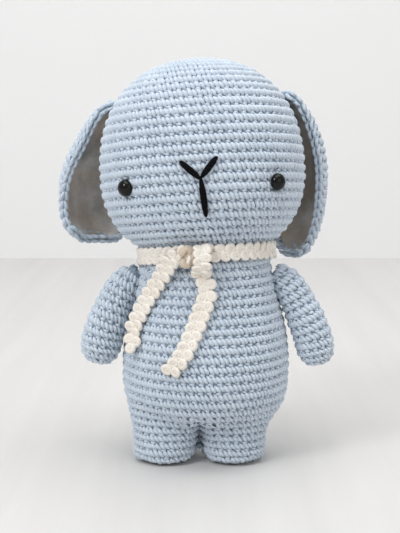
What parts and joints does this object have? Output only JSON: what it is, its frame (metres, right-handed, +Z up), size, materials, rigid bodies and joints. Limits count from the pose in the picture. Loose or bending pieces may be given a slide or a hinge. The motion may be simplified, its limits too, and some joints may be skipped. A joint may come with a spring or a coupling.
{
  "type": "crocheted soft toy",
  "caption": "Standing crocheted soft toy with a large round head, cupped hanging ears, two arms, two short legs and a tied scarf round its neck.",
  "frame": {"origin": "centre of the toy's outer box on the plane that its feet stand on; the toy's own axis is 5.5 mm to the +X side and 4.5 mm to the -Y side of it", "axes": "+Z up, the face looks along -Y, +X is to the right of someone facing the toy"},
  "size_m": [0.1684, 0.1201, 0.2313],
  "materials": {
    "blue_yarn": "single crochet in matt cotton yarn",
    "edging_yarn": "slip stitch braid in the same cotton yarn",
    "sewing_yarn": "matt yarn, sewn",
    "ear_lining": "soft mottled felt",
    "cream_yarn": "crocheted cotton cord",
    "black_thread": "matt embroidery thread",
    "eye_plastic": "polished black",
    "washer_plastic": "natural",
    "stuffing": "loose polyester fibre"
  },
  "bodies": {
    "torso": {"body_cover": "blue_yarn", "body_stuffing": "stuffing", "neck_seam": "sewing_yarn", "scarf_loop": "cream_yarn", "scarf_knot": "cream_yarn", "scarf_tail_left": "cream_yarn", "scarf_tail_right": "cream_yarn"},
    "head": {"head_cover": "blue_yarn", "head_stuffing": "stuffing", "eye_left": "eye_plastic", "eye_left_washer": "washer_plastic", "eye_right": "eye_plastic", "eye_right_washer": "washer_plastic", "nose_stitch_left": "black_thread", "nose_stitch_right": "black_thread", "mouth_stitch": "black_thread"},
    "arm_left": {"arm_left_cover": "blue_yarn", "arm_left_stuffing": "stuffing", "arm_left_seam": "sewing_yarn"},
    "ear_left": {"ear_left_panel": "blue_yarn", "ear_left_lining": "ear_lining", "ear_left_edging": "edging_yarn", "ear_left_seam": "sewing_yarn"},
    "arm_right": {"arm_right_cover": "blue_yarn", "arm_right_stuffing": "stuffing", "arm_right_seam": "sewing_yarn"},
    "ear_right": {"ear_right_panel": "blue_yarn", "ear_right_lining": "ear_lining", "ear_right_edging": "edging_yarn", "ear_right_seam": "sewing_yarn"}
  },
  "joints": [
    {"name": "head_turn", "type": "hinge", "parent": "torso", "child": "head", "pos_m": [0.0061, -0.0045, 0.1195], "axis": [-0.052, 0.1045, 0.9932], "range_deg": [-20, 20], "stiffness_Nm_per_rad": 0.2},
    {"name": "arm_left_raise", "type": "hinge", "parent": "torso", "child": "arm_left", "pos_m": [-0.036, -0.0065, 0.1095], "axis": [0, 1, 0], "range_deg": [0, 30]},
    {"name": "arm_right_raise", "type": "hinge", "parent": "torso", "child": "arm_right", "pos_m": [0.047, -0.0065, 0.1095], "axis": [0, -1, 0], "range_deg": [0, 30]},
    {"name": "ear_left_lift", "type": "hinge", "parent": "head", "child": "ear_left", "pos_m": [-0.0478, 0.01644, 0.20408], "axis": [0.2322, 0.9685, -0.0898], "range_deg": [0, 68]},
    {"name": "ear_right_lift", "type": "hinge", "parent": "head", "child": "ear_right", "pos_m": [0.05086, 0.01644, 0.20926], "axis": [0.2216, -0.9685, 0.1135], "range_deg": [0, 88]}
  ]
}
